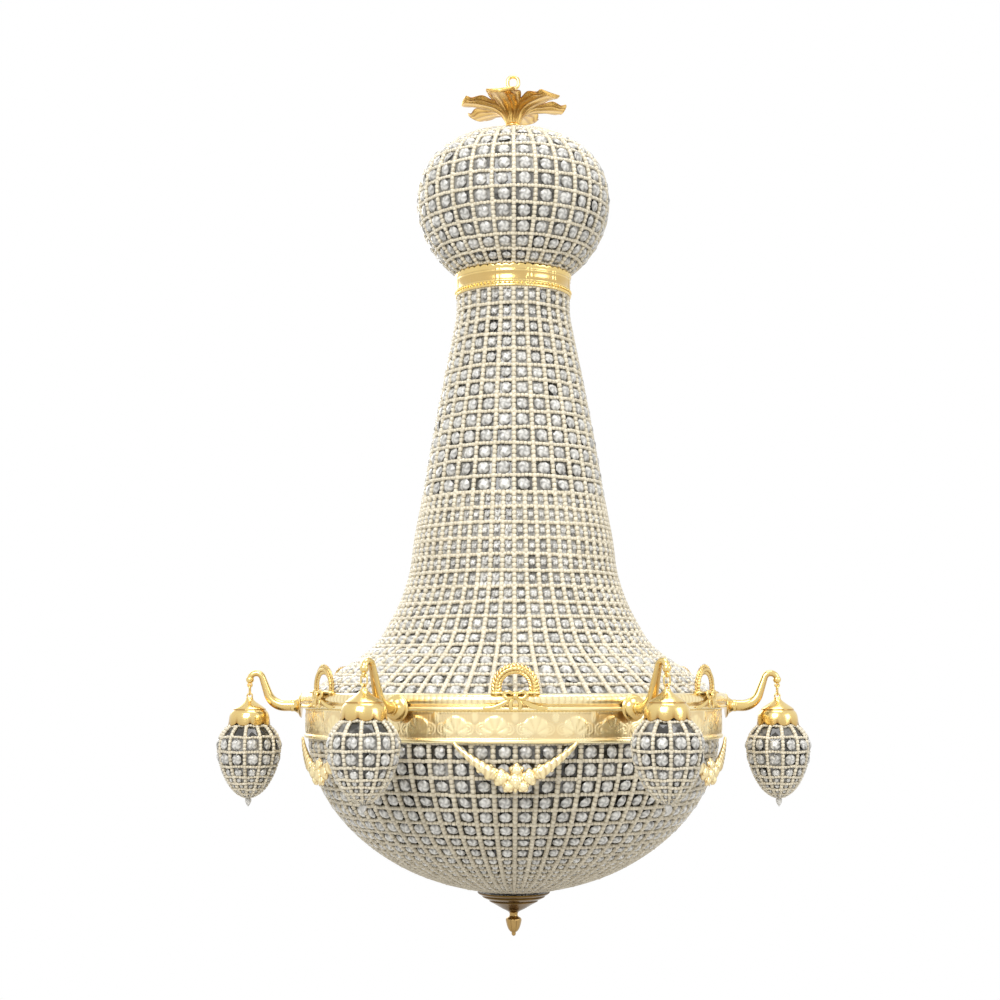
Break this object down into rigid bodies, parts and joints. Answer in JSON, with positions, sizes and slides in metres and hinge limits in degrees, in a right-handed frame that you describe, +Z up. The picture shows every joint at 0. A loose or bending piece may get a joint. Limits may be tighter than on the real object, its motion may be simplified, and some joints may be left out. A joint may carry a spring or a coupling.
{
  "type": "crystal chandelier",
  "caption": "Empire style beaded crystal chandelier with gilt brass ring, bowl, crown and hanging egg pendants",
  "frame": {"origin": "top of the hanging loop eye, on the upright centre line, where a ceiling hook carries the chandelier", "axes": "+Z up along the centre line, -Y towards the viewer of the picture, +X towards arm 1"},
  "size_m": [0.8288, 0.73, 1.2262],
  "materials": {
    "gilt_brass": "cast and spun brass, gilt and polished, bright yellow gold",
    "aged_brass": "turned brass with a dark gold patina",
    "strung_glass": "clear faceted stones in frames of cream glass beads strung on wire",
    "plated_steel": "plated steel frame, hidden inside the nets",
    "lamp_glass": "clear lamp glass, unlit",
    "lamp_ceramic": "white glazed lamp holder"
  },
  "bodies": {
    "root": {"hanging_loop": "gilt_brass", "leaf_crown": "gilt_brass", "crown_cup": "gilt_brass", "central_stem": "plated_steel", "ball_top_ring": "plated_steel", "ball_net": "strung_glass", "collar_band": "gilt_brass", "collar_spider": "plated_steel", "neck_net": "strung_glass", "flare_net": "strung_glass", "main_hoop": "plated_steel", "cornice_strip": "gilt_brass", "frieze_band": "gilt_brass", "ring_spider": "plated_steel", "lamp_tray": "plated_steel", "lamp_sockets": "lamp_ceramic", "inner_bulbs": "lamp_glass", "bowl_net": "strung_glass", "bottom_plate": "aged_brass", "finial": "aged_brass", "stem_nuts": "plated_steel", "arm_screws": "plated_steel", "wreath_loops": "gilt_brass", "festoons": "gilt_brass", "arm_1": "gilt_brass", "arm_2": "gilt_brass", "arm_3": "gilt_brass", "arm_4": "gilt_brass", "arm_5": "gilt_brass", "arm_6": "gilt_brass"},
    "link_1": {"pendant_link_1": "gilt_brass"},
    "egg_1": {"egg_cap_1": "gilt_brass", "egg_net_1": "strung_glass", "egg_socket_1": "lamp_ceramic", "egg_bulb_1": "lamp_glass"},
    "link_2": {"pendant_link_2": "gilt_brass"},
    "egg_2": {"egg_cap_2": "gilt_brass", "egg_net_2": "strung_glass", "egg_socket_2": "lamp_ceramic", "egg_bulb_2": "lamp_glass"},
    "link_3": {"pendant_link_3": "gilt_brass"},
    "egg_3": {"egg_cap_3": "gilt_brass", "egg_net_3": "strung_glass", "egg_socket_3": "lamp_ceramic", "egg_bulb_3": "lamp_glass"},
    "link_4": {"pendant_link_4": "gilt_brass"},
    "egg_4": {"egg_cap_4": "gilt_brass", "egg_net_4": "strung_glass", "egg_socket_4": "lamp_ceramic", "egg_bulb_4": "lamp_glass"},
    "link_5": {"pendant_link_5": "gilt_brass"},
    "egg_5": {"egg_cap_5": "gilt_brass", "egg_net_5": "strung_glass", "egg_socket_5": "lamp_ceramic", "egg_bulb_5": "lamp_glass"},
    "link_6": {"pendant_link_6": "gilt_brass"},
    "egg_6": {"egg_cap_6": "gilt_brass", "egg_net_6": "strung_glass", "egg_socket_6": "lamp_ceramic", "egg_bulb_6": "lamp_glass"}
  },
  "joints": [
    {"name": "link_swing_1", "type": "hinge", "parent": "root", "child": "link_1", "pos_m": [0.369, 0, -0.8762], "axis": [0, -1, 0], "range_deg": [-11, 45]},
    {"name": "egg_swing_1", "type": "hinge", "parent": "link_1", "child": "egg_1", "pos_m": [0.369, 0, -0.8877], "axis": [1, 0, 0], "range_deg": [-30, 30]},
    {"name": "link_swing_2", "type": "hinge", "parent": "root", "child": "link_2", "pos_m": [0.1845, 0.31956, -0.8632], "axis": [0.866, -0.5, 0], "range_deg": [-4, 45]},
    {"name": "egg_swing_2", "type": "hinge", "parent": "link_2", "child": "egg_2", "pos_m": [0.1845, 0.31956, -0.8747], "axis": [0.5, 0.866, 0], "range_deg": [-30, 30]},
    {"name": "link_swing_3", "type": "hinge", "parent": "root", "child": "link_3", "pos_m": [-0.1845, 0.31956, -0.8632], "axis": [0.866, 0.5, 0], "range_deg": [-4, 45]},
    {"name": "egg_swing_3", "type": "hinge", "parent": "link_3", "child": "egg_3", "pos_m": [-0.1845, 0.31956, -0.8747], "axis": [-0.5, 0.866, 0], "range_deg": [-30, 30]},
    {"name": "link_swing_4", "type": "hinge", "parent": "root", "child": "link_4", "pos_m": [-0.369, 0, -0.8762], "axis": [0, 1, 0], "range_deg": [-11, 45]},
    {"name": "egg_swing_4", "type": "hinge", "parent": "link_4", "child": "egg_4", "pos_m": [-0.369, 0, -0.8877], "axis": [-1, 0, 0], "range_deg": [-30, 30]},
    {"name": "link_swing_5", "type": "hinge", "parent": "root", "child": "link_5", "pos_m": [-0.1845, -0.31956, -0.8632], "axis": [-0.866, 0.5, 0], "range_deg": [-4, 45]},
    {"name": "egg_swing_5", "type": "hinge", "parent": "link_5", "child": "egg_5", "pos_m": [-0.1845, -0.31956, -0.8747], "axis": [-0.5, -0.866, 0], "range_deg": [-30, 30]},
    {"name": "link_swing_6", "type": "hinge", "parent": "root", "child": "link_6", "pos_m": [0.1845, -0.31956, -0.8632], "axis": [-0.866, -0.5, 0], "range_deg": [-4, 45]},
    {"name": "egg_swing_6", "type": "hinge", "parent": "link_6", "child": "egg_6", "pos_m": [0.1845, -0.31956, -0.8747], "axis": [0.5, -0.866, 0], "range_deg": [-30, 30]}
  ]
}
